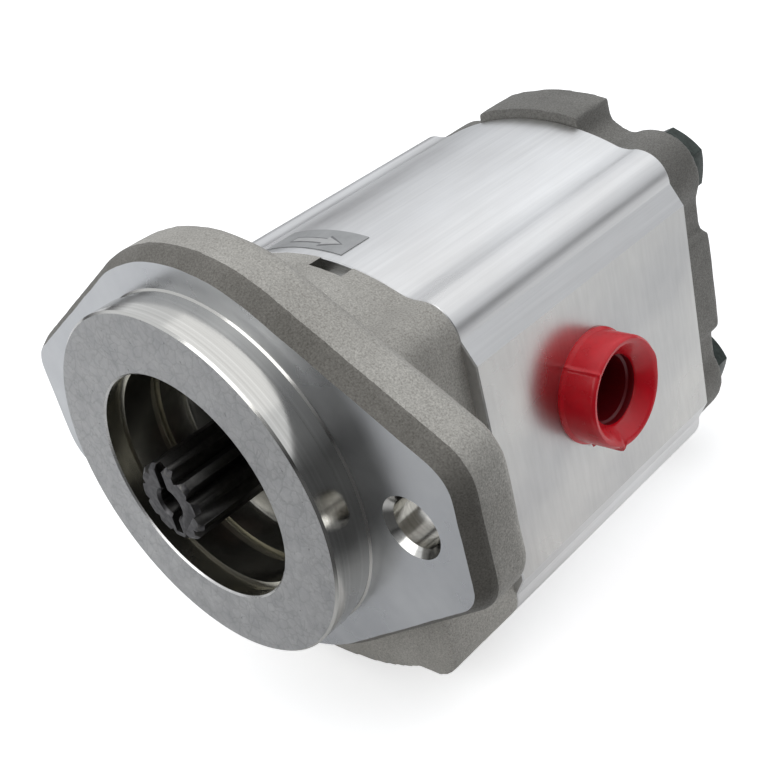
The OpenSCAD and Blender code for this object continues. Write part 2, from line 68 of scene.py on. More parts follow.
# %% Sizes of the pump
GEAR_PITCH = 31.2
MID_Z = -GEAR_PITCH / 2
PILOT_R, PILOT_Y, FACE_R = 41.275, -10.3, 46.475
FLANGE_T, BODY_Y, REAR_Y, BACK_Y = 14.0, 36.0, 116.0, 131.0
HALF_W, HALF_H, DOME_R = 39.9, 47.4, 63.0
DOME_Z = HALF_H - DOME_R
LOBE_X, LOBE_Z, LOBE_R = 31.7, 32.9, 8.2
PORT_X, PORT_Y, PORT_Z = 42.9, 71.5, -12.6
BOLT_X, BOLT_Z = 27.4, 28.8
CHAMBER_R, BOLT_HOLE_R = 18.3, 5.4
BOLT_PLACES = [(sx * BOLT_X, MID_Z + sz * BOLT_Z) for sx in (-1, 1) for sz in (-1, 1)]
PAST = 1.0  # how far a cutting tool reaches past the face it cuts
print("length from pilot to rear cover:", round(BACK_Y - PILOT_Y, 1), "mm")

# %% [markdown]
# ## Camera
# A catalogue view from the front right and above, with a lens a little longer than normal, so
# that the flange is the nearest thing and the body runs away behind it. The camera is set by its
# place and by three directions at right angles, which make up its matrix. A "track to" constraint
# would also aim it, but it can't hold the slight roll that a hand-held view has.

# %% Camera
CAMERA_PLACE, LENS, SENSOR = Vector((198.3, -121.2, 131.6)), 58.54, 36.0
camera = bpy.data.objects.new("camera", bpy.data.cameras.new("camera"))
scene.collection.objects.link(camera)
camera.data.sensor_width = SENSOR
camera.data.lens = LENS
camera.data.clip_start, camera.data.clip_end = 0.01, 50.0
ahead = Vector((-0.671, 0.572, -0.472)).normalized()
aside = Vector((0.719, 0.658, -0.224))
aside = (aside - aside.dot(ahead) * ahead).normalized()
above = aside.cross(ahead)
turn = Matrix((aside, above, -ahead)).transposed().to_4x4()
camera.matrix_world = Matrix.Translation(CAMERA_PLACE * MM) @ turn
scene.camera = camera
scene.view_settings.view_transform = "Standard"
print("camera at", tuple(round(c, 3) for c in camera.location))

# %% [markdown]
# ## Light and floor
# Metal looks like what surrounds it, so the light is a wide pale sky, two soft lamps and a floor.
# The sky is a ramp over height: dim near the horizon and pale above it. In front of the pump, at
# the right, it is darker: a black card stands there in a studio, so that bright turned metal shows
# a dark edge. The camera itself sees a plain white backdrop in place of the sky.

# %% World
SKY_STRENGTH = 0.82
HORIZON, SKY_TOP = (0.53, (0.12, 0.12, 0.125, 1)), (0.64, (0.95, 0.97, 1.0, 1))
OPEN_SIDE, CARD_SIDE = (0.35, (1, 1, 1, 1)), (0.9, (0.3, 0.3, 0.3, 1))
CARD_DIRECTION = (0.76, -0.65, 0.0)
BACKDROP_WHITE = (0.95, 0.95, 0.95, 1)
world = bpy.data.worlds.new("studio")
scene.world = world
world.use_nodes = True
tree = world.node_tree
place = tree.nodes.new("ShaderNodeTexCoord")
split = tree.nodes.new("ShaderNodeSeparateXYZ")
sky = tree.nodes.new("ShaderNodeValToRGB")
for stop, (position, colour) in zip(sky.color_ramp.elements, (HORIZON, SKY_TOP)):
    stop.position, stop.color = position, colour
shift = tree.nodes.new("ShaderNodeMapRange")
shift.inputs["From Min"].default_value = -1.0
tree.links.new(place.outputs["Generated"], split.inputs[0])
tree.links.new(split.outputs["Z"], shift.inputs["Value"])
tree.links.new(shift.outputs[0], sky.inputs[0])
towards = tree.nodes.new("ShaderNodeVectorMath")
towards.operation = "DOT_PRODUCT"
towards.inputs[1].default_value = CARD_DIRECTION
tree.links.new(place.outputs["Generated"], towards.inputs[0])
corner = tree.nodes.new("ShaderNodeValToRGB")
for stop, (position, colour) in zip(corner.color_ramp.elements, (OPEN_SIDE, CARD_SIDE)):
    stop.position, stop.color = position, colour
tree.links.new(towards.outputs["Value"], corner.inputs[0])
shaded = tree.nodes.new("ShaderNodeMix")
shaded.data_type, shaded.blend_type = "RGBA", "MULTIPLY"
shaded.inputs[0].default_value = 1.0
tree.links.new(sky.outputs[0], shaded.inputs[6])
tree.links.new(corner.outputs[0], shaded.inputs[7])
tree.links.new(shaded.outputs[2], tree.nodes["Background"].inputs["Color"])
backdrop = tree.nodes.new("ShaderNodeBackground")
backdrop.inputs["Color"].default_value = BACKDROP_WHITE
path = tree.nodes.new("ShaderNodeLightPath")
pick = tree.nodes.new("ShaderNodeMixShader")
tree.links.new(path.outputs["Is Camera Ray"], pick.inputs[0])
tree.links.new(tree.nodes["Background"].outputs[0], pick.inputs[1])
tree.links.new(backdrop.outputs[0], pick.inputs[2])
tree.links.new(pick.outputs[0], tree.nodes["World Output"].inputs["Surface"])
tree.nodes["Background"].inputs["Strength"].default_value = SKY_STRENGTH
print("sky set")

# %% [markdown]
# **Lamps.** One large soft lamp hangs overhead and lights the domes, and a smaller one in front
# lights the flange. Both are wide discs, because a small lamp would leave hard bright spots on
# turned metal. Their power is low: in a reflection a lamp adds to the sky behind it.

# %% Lamps
def soft_lamp(name, place, target, size, power, tint=(1, 1, 1)):
    lamp = bpy.data.objects.new(name, bpy.data.lights.new(name, "AREA"))
    lamp.data.shape, lamp.data.size, lamp.data.energy, lamp.data.color = "DISK", size, power, tint
    lamp.location = place
    lamp.rotation_euler = (Vector(target) - Vector(place)).to_track_quat("-Z", "Y").to_euler()
    scene.collection.objects.link(lamp)


soft_lamp("lamp_top", (0.1, 0.35, 0.85), (0, 0.05, 0), 1.4, 1.3, (1, 0.99, 0.97))
soft_lamp("lamp_front", (-0.05, -0.9, 0.5), (0, 0, 0), 0.8, 2.6)
print("lamps placed")

# %% [markdown]
# ** Floor.** The floor looks white to the camera, while the pump reflects a set of greys from it,
# which keeps the lower sides and the bores darker than the top. A Light Path node tells the two
# apart. The greys are ramps along the floor, and they are painted light and shade: painted shade
# where a black card would stand and a little close to the pump, pale at the left, and a pale patch
# at the right whose glow is painted light. A plain white floor would be simpler, but it would
# light every underside and wash the metal out.

# %% Floor
FLOOR_HALF, FLOOR_GAP = 6.0, 0.0002
bm = bmesh.new()
bmesh.ops.create_grid(bm, x_segments=1, y_segments=1, size=FLOOR_HALF)
bmesh.ops.translate(bm, verts=bm.verts, vec=(0, 0, cad_box[0][2] - FLOOR_GAP))
floor_mesh = bpy.data.meshes.new("floor")
bm.to_mesh(floor_mesh)
bm.free()
floor = bpy.data.objects.new("floor", floor_mesh)
scene.collection.objects.link(floor)
paper = bpy.data.materials.new("paper")
paper.use_nodes = True
tree = paper.node_tree
tree.nodes["Principled BSDF"].inputs["Roughness"].default_value = 0.9
place = tree.nodes.new("ShaderNodeTexCoord")


def floor_ramp(direction, start, end, first, last):
    """A grey that changes along one direction of the floor, from start to end in metres."""
    along = tree.nodes.new("ShaderNodeVectorMath")
    along.operation = "DOT_PRODUCT"
    along.inputs[1].default_value = direction
    tree.links.new(place.outputs["Object"], along.inputs[0])
    grey = tree.nodes.new("ShaderNodeMapRange")
    grey.interpolation_type = "SMOOTHSTEP"
    settings = {"From Min": start, "From Max": end, "To Min": first, "To Max": last}
    for socket, value in settings.items():
        grey.inputs[socket].default_value = value
    tree.links.new(along.outputs["Value"], grey.inputs["Value"])
    return grey.outputs[0]


def joined(operation, a, b):
    """Two numbers from nodes made into one, by MULTIPLY or MAXIMUM."""
    node = tree.nodes.new("ShaderNodeMath")
    node.operation = operation
    tree.links.new(a, node.inputs[0])
    tree.links.new(b, node.inputs[1])
    return node.outputs[0]


TO_CARD_SHADE, TO_LEFT, TO_RIGHT = (1, -1, 0), (-0.76, -0.65, 0), (0.76, 0.65, 0)
PAINTED_PATCH_GLOW = 0.35
SEEN_GREY, SEEN_GLOW = (0.9, 0.9, 0.9, 1), 0.55
# Painted shade: the floor is darkened where a black card would stand, and a little close to the pump.
card_shade = floor_ramp(TO_CARD_SHADE, 0.06, 0.13, 1, 0.1)
front = floor_ramp(TO_LEFT, 0.03, 0.2, 0.75, 0.95)
near = floor_ramp(TO_RIGHT, 0.02, 0.08, 0, 1)
far = floor_ramp(TO_RIGHT, 0.1, 0.3, 0.8, 0.4)
right = joined("MULTIPLY", joined("MULTIPLY", near, far), floor_ramp(TO_CARD_SHADE, -0.01, 0.035, 1, 0.1))
shade = joined("MULTIPLY", card_shade, joined("MAXIMUM", front, right))
tree.links.new(shade, tree.nodes["Principled BSDF"].inputs["Base Color"])
# The patch at the right glows a little: painted light that brightens what the lower sides reflect.
tree.links.new(joined("MULTIPLY", card_shade, right), tree.nodes["Principled BSDF"].inputs["Emission Color"])
tree.nodes["Principled BSDF"].inputs["Emission Strength"].default_value = PAINTED_PATCH_GLOW
seen = tree.nodes.new("ShaderNodeBsdfDiffuse")
seen.inputs["Color"].default_value = SEEN_GREY
glow = tree.nodes.new("ShaderNodeEmission")
glow.inputs["Strength"].default_value = SEEN_GLOW
both = tree.nodes.new("ShaderNodeAddShader")
path = tree.nodes.new("ShaderNodeLightPath")
pick = tree.nodes.new("ShaderNodeMixShader")
tree.links.new(seen.outputs[0], both.inputs[0])
tree.links.new(glow.outputs[0], both.inputs[1])
tree.links.new(path.outputs["Is Camera Ray"], pick.inputs[0])
tree.links.new(tree.nodes["Principled BSDF"].outputs[0], pick.inputs[1])
tree.links.new(both.outputs[0], pick.inputs[2])
tree.links.new(pick.outputs[0], tree.nodes["Material Output"].inputs["Surface"])
floor_mesh.materials.append(paper)
print("floor at", round(cad_box[0][2], 4), "m")

# %% [markdown]
# ## Finishes
# Each metal gets its own small node network. The pattern always starts from Object coordinates,
# which are metres in the pump's own frame, so a pattern stays where it is on the piece. A picture
# wrapped round the piece could do the same, but it would show seams and blur close up. Each short
# helper adds one step: noise, a stretch for marks that run one way, a ramp that picks out part of
# a pattern, a mix, a bump, and the lines and rings that a cutting tool leaves.

# %% Helpers for the finishes
def new_finish(name, colour, metallic, roughness):
    """A material with its shader set, and the Object coordinates that its pattern starts from."""
    material = bpy.data.materials.new(name)
    material.use_nodes = True
    tree = material.node_tree
    shader = tree.nodes["Principled BSDF"]
    shader.inputs["Base Color"].default_value = (*colour, 1)
    shader.inputs["Metallic"].default_value = metallic
    shader.inputs["Roughness"].default_value = roughness
    place = tree.nodes.new("ShaderNodeTexCoord").outputs["Object"]
    return material, tree, shader, place


def grain(tree, place, scale, detail=4.0, rough=0.55):
    """Noise in all directions; a larger scale makes it finer."""
    node = tree.nodes.new("ShaderNodeTexNoise")
    node.inputs["Scale"].default_value = scale
    node.inputs["Detail"].default_value = detail
    node.inputs["Roughness"].default_value = rough
    tree.links.new(place, node.inputs["Vector"])
    return node.outputs["Fac"]


def stretched(tree, place, scale):
    """Coordinates scaled by axis; a small number draws a pattern out along that axis."""
    node = tree.nodes.new("ShaderNodeMapping")
    node.inputs["Scale"].default_value = scale
    tree.links.new(place, node.inputs["Vector"])
    return node.outputs[0]


def ramp(tree, value, *stops):
    """Turns a value into a colour, or into another value, through (position, colour) stops."""
    node = tree.nodes.new("ShaderNodeValToRGB")
    while len(node.color_ramp.elements) < len(stops):
        node.color_ramp.elements.new(0.5)
    for element, (position, colour) in zip(node.color_ramp.elements, stops):
        element.position = position
        element.color = (*colour, 1) if isinstance(colour, tuple) else (colour, colour, colour, 1)
    tree.links.new(value, node.inputs[0])
    return node.outputs[0]


def mixed(tree, share, a, b, blend="MIX"):
    """Mixes colour b into colour a; share may be a number or a pattern."""
    node = tree.nodes.new("ShaderNodeMix")
    node.data_type, node.blend_type = "RGBA", blend
    for socket, value in ((node.inputs[0], share), (node.inputs[6], a), (node.inputs[7], b)):
        if isinstance(value, bpy.types.NodeSocket):
            tree.links.new(value, socket)
        elif isinstance(value, tuple):
            socket.default_value = (*value, 1)
        else:
            socket.default_value = value
    return node.outputs[2]


def bumped(tree, shader, height, strength, depth, under=None):
    """Adds a bump to the shader, over another bump where one is given."""
    node = tree.nodes.new("ShaderNodeBump")
    node.inputs["Strength"].default_value = strength
    node.inputs["Distance"].default_value = depth
    tree.links.new(height, node.inputs["Height"])
    if under is not None:
        tree.links.new(under, node.inputs["Normal"])
    tree.links.new(node.outputs[0], shader.inputs["Normal"])
    return node.outputs[0]


def distance_from_axis(tree, place):
    """How far a point is from the shaft's axis, for marks left by turning."""
    length = tree.nodes.new("ShaderNodeVectorMath")
    length.operation = "LENGTH"
    tree.links.new(stretched(tree, place, (1, 0, 1)), length.inputs[0])
    return length.outputs["Value"]


def lines(tree, value, scale):
    """Noise along one number, which draws lines wherever that number stays the same."""
    node = tree.nodes.new("ShaderNodeTexNoise")
    node.noise_dimensions = "1D"
    node.inputs["Scale"].default_value = scale
    node.inputs["Detail"].default_value = 3.0
    tree.links.new(value, node.inputs["W"])
    return node.outputs["Fac"]


def one_axis(tree, place, axis):
    """One of the three coordinates on its own."""
    node = tree.nodes.new("ShaderNodeSeparateXYZ")
    tree.links.new(place, node.inputs[0])
    return node.outputs[axis]


print("helpers ready: noise, stretch, ramp, mix, bump, rings and lines")

# %% [markdown]
# ** Cast iron.** The flange and the rear cover are cast in sand, so the skin is a warm grey with
# fine pale and dark specks, and with slow patches where the sand packed differently. Three sizes
# of noise make it: patches for the colour, grains for the specks, and both for the bump. The rear
# cover gets a darker copy of this skin, which is painted shade for the dimmer light on it. So does
# the narrow band beside the machined face of the flange: painted shade in the concave fillet there.

# %% Cast iron skin
def cast_skin(name, dark, light):
    """A sand-cast skin whose patches run from the dark colour to the light one."""
    material, tree, shader, place = new_finish(name, light, 0.35, 0.55)
    patches = grain(tree, place, 45.0, 3.0)
    specks = grain(tree, place, 2600.0, 3.0, 0.7)
    skin = ramp(tree, patches, (0.3, dark), (0.7, light))
    speckled = ramp(tree, specks, (0.32, (0.72, 0.71, 0.69)), (0.5, 1.0), (0.7, (1.3, 1.3, 1.29)))
    tree.links.new(mixed(tree, 1.0, skin, speckled, "MULTIPLY"), shader.inputs["Base Color"])
    tree.links.new(ramp(tree, specks, (0.3, 0.7), (0.7, 0.4)), shader.inputs["Roughness"])
    coarse = bumped(tree, shader, grain(tree, place, 650.0, 4.0, 0.6), 0.25, 0.0003)
    bumped(tree, shader, specks, 0.3, 0.0001, coarse)
    return material


cast_iron = cast_skin("cast_iron_skin", (0.38, 0.365, 0.335), (0.5, 0.485, 0.45))
# Painted shade: a darker copy of the skin for the concave band beside the flange's machined face.
band_shade_iron = cast_skin("cast_iron_band_shade", (0.15, 0.142, 0.125), (0.21, 0.2, 0.18))
# Painted shade: a darker copy of the skin for the rear cover.
rear_shade_iron = cast_skin("cast_iron_rear_shade", (0.165, 0.16, 0.147), (0.235, 0.229, 0.212))
print("finishes:", cast_iron.name, band_shade_iron.name, rear_shade_iron.name)

# %% [markdown]
# **Machined iron.** The face that meets the machine is faced on a lathe, together with the
# pilot. It is a cool blue grey, nearly smooth, with faint rings about the shaft.

# %% Machined face
machined, tree, shader, place = new_finish("machined_face", (0.46, 0.47, 0.49), 1.0, 0.3)
rings = lines(tree, distance_from_axis(tree, place), 2600.0)
stains = grain(tree, place, 38.0, 4.0, 0.6)
stained = ramp(tree, stains, (0.3, (0.5, 0.51, 0.53)), (0.7, (0.66, 0.67, 0.68)))
tree.links.new(stained, shader.inputs["Base Color"])
tree.links.new(ramp(tree, stains, (0.3, 0.24), (0.7, 0.36)), shader.inputs["Roughness"])
bumped(tree, shader, rings, 0.25, 0.00004)
print("finish:", machined.name)

# %% [markdown]
# **Turned pilot and bores.** A finer, brighter cut, with lines that run round the shaft. The
# lines follow Y on the pilot's wall, so the highlight is drawn out along them.

# %% Turned surfaces
turned_bright, tree, shader, place = new_finish("turned_bright", (0.66, 0.66, 0.65), 1.0, 0.17)
along = one_axis(tree, place, "Y")
tool_marks = ramp(tree, lines(tree, along, 1400.0), (0.3, (0.58, 0.57, 0.54)), (0.7, (0.72, 0.71, 0.68)))
tree.links.new(tool_marks, shader.inputs["Base Color"])
tree.links.new(ramp(tree, grain(tree, place, 60.0), (0.35, 0.11), (0.7, 0.2)), shader.inputs["Roughness"])
bumped(tree, shader, lines(tree, along, 5200.0), 0.2, 0.00001)
print("finish:", turned_bright.name)

# %% [markdown]
# ** Front of the pilot.** This ring isn't machined as finely. It is a light matt grey, wrinkled
# like dried skin and marked with small pits, so it scatters the light instead of mirroring it.
# Its colour is darkened along the creases of the wrinkles, which is painted shade.

# %% Front of the pilot
pilot_front, tree, shader, place = new_finish("pilot_front", (0.5, 0.5, 0.49), 0.75, 0.5)
wrinkles = tree.nodes.new("ShaderNodeTexVoronoi")
wrinkles.feature = "DISTANCE_TO_EDGE"
wrinkles.inputs["Scale"].default_value = 420.0
warp = mixed(tree, 0.006, place, grain(tree, place, 160.0, 3.0))
tree.links.new(warp, wrinkles.inputs["Vector"])
cells = ramp(tree, wrinkles.outputs["Distance"], (0.0, 0.0), (0.18, 1.0))
clouds = grain(tree, place, 210.0, 6.0, 0.7)
ring_grey = ramp(tree, clouds, (0.3, (0.40, 0.40, 0.405)), (0.52, (0.5, 0.5, 0.5)),
                 (0.75, (0.6, 0.6, 0.595)))
# Painted shade: the colour is darkened along the creases of the wrinkles.
crease_shade = ramp(tree, wrinkles.outputs["Distance"], (0.0, 0.72), (0.1, 1.0))
pits = ramp(tree, grain(tree, place, 900.0, 2.0, 0.5), (0.22, 0.45), (0.3, 1.0))
grey_with_crease_shade = mixed(tree, grain(tree, place, 60.0, 2.0), ring_grey, crease_shade, "MULTIPLY")
tree.links.new(mixed(tree, 1.0, grey_with_crease_shade, pits, "MULTIPLY"), shader.inputs["Base Color"])
tree.links.new(ramp(tree, clouds, (0.3, 0.42), (0.7, 0.6)), shader.inputs["Roughness"])
soft = bumped(tree, shader, clouds, 0.6, 0.0006)
bumped(tree, shader, cells, 0.2, 0.0002, soft)
print("finish:", pilot_front.name)

# %% [markdown]
# **Extruded aluminium.** The body is pushed through a die, which leaves very fine straight lines
# along Y, and then it is etched to a satin. The noise is stretched along Y for the lines. Slow
# patches in the roughness stand for handling marks.

# %% Extruded aluminium
extruded, tree, shader, place = new_finish("extruded_aluminium", (0.83, 0.83, 0.84), 1.0, 0.34)
draw_lines = grain(tree, stretched(tree, place, (1.0, 0.02, 1.0)), 900.0, 4.0, 0.6)
smears = grain(tree, stretched(tree, place, (1.0, 0.45, 1.0)), 34.0, 4.0, 0.6)
base = ramp(tree, smears, (0.3, (0.74, 0.735, 0.73)), (0.7, (0.88, 0.885, 0.89)))
tree.links.new(mixed(tree, 1.0, base, ramp(tree, draw_lines, (0.3, 0.9), (0.7, 1.0)), "MULTIPLY"),
               shader.inputs["Base Color"])
tree.links.new(ramp(tree, smears, (0.3, 0.27), (0.7, 0.4)), shader.inputs["Roughness"])
fine = bumped(tree, shader, draw_lines, 0.22, 0.00005)
bumped(tree, shader, grain(tree, place, 2500.0, 2.0), 0.1, 0.00004, fine)
print("finish:", extruded.name)

# %% [markdown]
# **Port faces.** They stand out from the extrusion, and are smoother and duller than its domes,
# with broad smears where they were wiped.

# %% Port faces
port_face, tree, shader, place = new_finish("port_face", (0.62, 0.61, 0.59), 1.0, 0.3)
smears = grain(tree, stretched(tree, place, (1.0, 0.6, 1.0)), 26.0, 4.0, 0.55)
marks = grain(tree, stretched(tree, place, (1.0, 1.0, 0.12)), 700.0, 4.0, 0.6)
base = ramp(tree, smears, (0.3, (0.56, 0.56, 0.56)), (0.7, (0.72, 0.71, 0.68)))
tree.links.new(mixed(tree, 1.0, base, ramp(tree, marks, (0.3, 0.92), (0.7, 1.0)), "MULTIPLY"),
               shader.inputs["Base Color"])
tree.links.new(ramp(tree, smears, (0.3, 0.34), (0.7, 0.24)), shader.inputs["Roughness"])
bumped(tree, shader, marks, 0.12, 0.00004)
print("finish:", port_face.name)

# %% [markdown]
# ** Smaller finishes.** Oiled gear steel, black oxide on the bolts, glossy red plastic for the
# plug, moulded rubber, foil and the metals of the inside. They differ only in a few numbers, so
# one helper makes them all: a base colour that varies a little, a roughness that varies with it,
# and a fine bump. The plug's hollow gets a darker red, painted shade, because little light reaches it.

# %% Smaller finishes
def simple_finish(name, colour, metallic, roughness, scale, spread, bump=0.1, depth=0.00005):
    """A finish that varies by the spread, with noise of one scale and a bump of a given depth."""
    material, tree, shader, place = new_finish(name, colour, metallic, roughness)
    pattern = grain(tree, place, scale, 4.0, 0.6)
    dark = tuple(c * (1 - spread) for c in colour)
    light = tuple(min(1.0, c * (1 + spread)) for c in colour)
    tree.links.new(ramp(tree, pattern, (0.3, dark), (0.7, light)), shader.inputs["Base Color"])
    gloss = ramp(tree, pattern, (0.3, roughness * 1.15), (0.7, roughness * 0.85))
    tree.links.new(gloss, shader.inputs["Roughness"])
    bumped(tree, shader, pattern, bump, depth)
    return material


gear_steel = simple_finish("gear_steel_oiled", (0.1, 0.097, 0.092), 1.0, 0.34, 500.0, 0.3)
shaft_end = simple_finish("shaft_end", (0.085, 0.083, 0.085), 1.0, 0.4, 800.0, 0.25, 0.2)
black_oxide = simple_finish("black_oxide", (0.045, 0.055, 0.05), 0.8, 0.38, 900.0, 0.3, 0.2)
red_plastic = simple_finish("red_plastic", (0.7, 0.004, 0.016), 0.0, 0.25, 220.0, 0.1, 0.06, 0.0002)
# Painted shade: a darker red for the plug's hollow.
red_hollow_shade = simple_finish("red_hollow_shade", (0.16, 0.002, 0.006), 0.0, 0.4, 220.0, 0.1, 0.06, 0.0002)
black_rubber = simple_finish("black_rubber", (0.02, 0.02, 0.02), 0.0, 0.55, 900.0, 0.3, 0.2)
seal_rubber = simple_finish("shaft_seal_rubber", (0.06, 0.03, 0.02), 0.0, 0.35, 700.0, 0.3, 0.2)
bright_steel = simple_finish("bright_steel", (0.55, 0.55, 0.55), 1.0, 0.25, 600.0, 0.1)
bearing_metal = simple_finish("bearing_metal", (0.6, 0.58, 0.54), 1.0, 0.35, 400.0, 0.1)
bronze = simple_finish("bush_bronze", (0.35, 0.24, 0.15), 1.0, 0.4, 900.0, 0.25, 0.2)
ivory_plastic = simple_finish("ivory_plastic", (0.75, 0.71, 0.6), 0.0, 0.5, 500.0, 0.08)
label_foil = simple_finish("label_foil", (0.40, 0.405, 0.405), 0.55, 0.38, 160.0, 0.12, 0.1, 0.0001)
label_ink = simple_finish("label_ink", (0.17, 0.17, 0.175), 0.3, 0.4, 300.0, 0.15)
label_light = simple_finish("label_light", (0.52, 0.52, 0.515), 0.5, 0.4, 300.0, 0.1)
# A dark metal for the recess and the pry slot.
recess_metal = simple_finish("recess_dark", (0.3, 0.295, 0.275), 1.0, 0.22, 120.0, 0.4, 0.15, 0.0002)
# Painted highlight: a brighter metal for two bands on the recess wall.
recess_highlight_band = simple_finish("recess_highlight_band", (0.62, 0.6, 0.52), 1.0, 0.24, 160.0, 0.2, 0.15, 0.0001)
thread_metal = simple_finish("thread_metal", (0.66, 0.655, 0.64), 1.0, 0.28, 400.0, 0.12)
print("finishes made:", len(bpy.data.materials), "materials in the file")

# %% [markdown]
# ## Shaping helpers
# The castings and the body are made the way the real ones are: a blank, and then cuts. A blank
# is a few simple shapes, and each cut is a turned or extruded tool taken away by a Boolean. A
# face left by a tool takes the tool's material, so the machined faces show by themselves.

# %% Turned and extruded shapes
def turned(profile, steps=128):
    """Spins (radius, y) points about the Y axis. The profile starts and ends on the axis."""
    bm = bmesh.new()
    chain = [bm.verts.new((r, y, 0)) for r, y in profile]
    edges = [bm.edges.new(pair) for pair in zip(chain, chain[1:])]
    bmesh.ops.spin(bm, geom=chain + edges, cent=(0, 0, 0), axis=(0, 1, 0), angle=math.tau,
                   steps=steps, use_merge=True, use_duplicate=False)
    bmesh.ops.remove_doubles(bm, verts=bm.verts, dist=0.0005)
    bmesh.ops.recalc_face_normals(bm, faces=bm.faces)
    return bm


def plain_bore(radius, y0, y1, steps=128):
    """A cylinder along Y, the tool for a straight hole."""
    return turned([(0, y0), (radius, y0), (radius, y1), (0, y1)], steps)


def extruded_y(bm, outline, y0, y1):
    """Adds a prism to a bmesh: an outline of (x, z) points, run from y0 to y1."""
    face = bm.faces.new([bm.verts.new((x, y0, z)) for x, z in outline])
    grown = bmesh.ops.extrude_face_region(bm, geom=[face], use_keep_orig=True)
    moved = [g for g in grown["geom"] if isinstance(g, bmesh.types.BMVert)]
    bmesh.ops.translate(bm, verts=moved, vec=(0, y1 - y0, 0))
    bmesh.ops.recalc_face_normals(bm, faces=bm.faces)


def moved_to(bm, x, y, z):
    bmesh.ops.translate(bm, verts=bm.verts, vec=(x, y, z))
    return bm


def facing_x(bm, side):
    """Turns a shape made about Y so that it is about the port axis; y becomes distance along X."""
    bmesh.ops.rotate(bm, verts=bm.verts, matrix=Matrix.Rotation(-side * math.pi / 2, 3, "Z"))
    return moved_to(bm, 0, PORT_Y, PORT_Z)


def as_object(name, bm, *materials):
    """Turns a bmesh into an object in the scene, with its materials in order."""
    mesh = bpy.data.meshes.new(name)
    bm.to_mesh(mesh)
    bm.free()
    for material in materials:
        mesh.materials.append(material)
    piece = bpy.data.objects.new(name, mesh)
    scene.collection.objects.link(piece)
    return piece


print("turned(), plain_bore() and extruded_y() ready")

# %% [markdown]
# A modifier is made part of the mesh at once, so that the next cut works on plain faces. The
# Manifold solver is fast and keeps closed shapes closed. Last, each piece is scaled to metres,
# shaded, and tied to the body it moves with, and the solids it stands for are hidden.

# %% Modifiers and cuts
def baked(piece):
    """Makes a piece's modifiers part of its mesh."""
    depsgraph = bpy.context.evaluated_depsgraph_get()
    done = bpy.data.meshes.new_from_object(piece.evaluated_get(depsgraph))
    piece.modifiers.clear()
    before, piece.data = piece.data, done
    bpy.data.meshes.remove(before)


def cut(piece, bm, material):
    """Takes a tool's shape away from a piece; the new faces get the material."""
    tool = as_object("tool", bm, material)
    modifier = piece.modifiers.new("cut", "BOOLEAN")
    modifier.operation, modifier.object, modifier.solver = "DIFFERENCE", tool, "MANIFOLD"
    modifier.material_mode = "TRANSFER"
    baked(piece)
    bpy.data.objects.remove(tool)


def finished(piece, body, slot, *replaced, angle=30.0):
    """Scales a piece to metres, shades it, ties it to its body and hides the solids it replaces; slot is
    not used.
    """
    piece.data.transform(Matrix.Scale(MM, 4))
    piece.data.polygons.foreach_set("use_smooth", [True] * len(piece.data.polygons))
    piece.data.set_sharp_from_angle(angle=math.radians(angle))
    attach(piece, body)
    if replaced:
        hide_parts(*replaced)
    triangles = sum(len(p.vertices) - 2 for p in piece.data.polygons)
    print(f"{piece.name}: {triangles} triangles")


print("cut() and finished() ready")

# %% [markdown]
# ## Outline of the body
# The body and both covers share one outline: a shallow dome above and below, and a round lobe at
# each corner, with a soft valley between dome and lobe. One quarter is drawn with two arcs, which
# are spun from a single point each, then the valley is rounded with a vertex bevel, and the
# quarter is mirrored twice. A list of all the points would do, but then no single radius could be
# changed.

# %% Outline of the body
VALLEY_R, VALLEY_STEPS = 2.8, 6
SHOULDER_Z = 27.6  # where the port face starts, above and below the middle
def crossing(c0, r0, c1, r1):
    """The left one of the two points where two circles cross."""
    c0, c1 = Vector(c0), Vector(c1)
    gap = (c1 - c0).length
    along = (r0 * r0 - r1 * r1 + gap * gap) / (2 * gap)
    out = math.sqrt(r0 * r0 - along * along)
    unit = (c1 - c0) / gap
    points = [c0 + unit * along + Vector((-unit[1], unit[0])) * s * out for s in (-1, 1)]
    return min(points, key=lambda p: p[0])


def quarter_to_outline(points, rounded=()):
    """Rounds the given corners of a quarter outline, mirrors it twice, returns (x, z) pairs."""
    bm = bmesh.new()
    chain = [bm.verts.new((x, 0, z)) for x, z in points]
    for pair in zip(chain, chain[1:]):
        bm.edges.new(pair)
    flat = [Vector((v.co.x, v.co.z)) for v in chain]
    picked = [v for v, at in zip(chain, flat) if any((at - Vector(p)).length < 0.01 for p in rounded)]
    if picked:
        bmesh.ops.bevel(bm, geom=picked, offset=VALLEY_R, offset_type="OFFSET", affect="VERTICES",
                        segments=VALLEY_STEPS, profile=0.5, material=-1)
    for axis in ("X", "Z"):
        bmesh.ops.mirror(bm, geom=bm.verts[:] + bm.edges[:], axis=axis, merge_dist=0.001)
    bmesh.ops.remove_doubles(bm, verts=bm.verts, dist=0.001)
    vert = max(bm.verts, key=lambda v: v.co.z)
    outline, edge = [], vert.link_edges[0]
    for _ in range(len(bm.verts)):
        outline.append((vert.co.x, vert.co.z + MID_Z))
        vert = edge.other_vert(vert)
        edge = next(e for e in vert.link_edges if e is not edge)
    bm.free()
    return outline


def arc_points(centre, radius, start, end, steps):
    """Points on an arc, made by spinning one point; angles in degrees from +X towards +Z."""
    bm = bmesh.new()
    a = math.radians(start)
    dot = bm.verts.new((centre[0] + radius * math.cos(a), 0, centre[1] + radius * math.sin(a)))
    bmesh.ops.spin(bm, geom=[dot], cent=(centre[0], 0, centre[1]), axis=(0, -1, 0),
                   angle=math.radians(end - start), steps=steps, use_merge=False, use_duplicate=False)
    points = [(v.co.x, v.co.z) for v in bm.verts]
    bm.free()
    return points


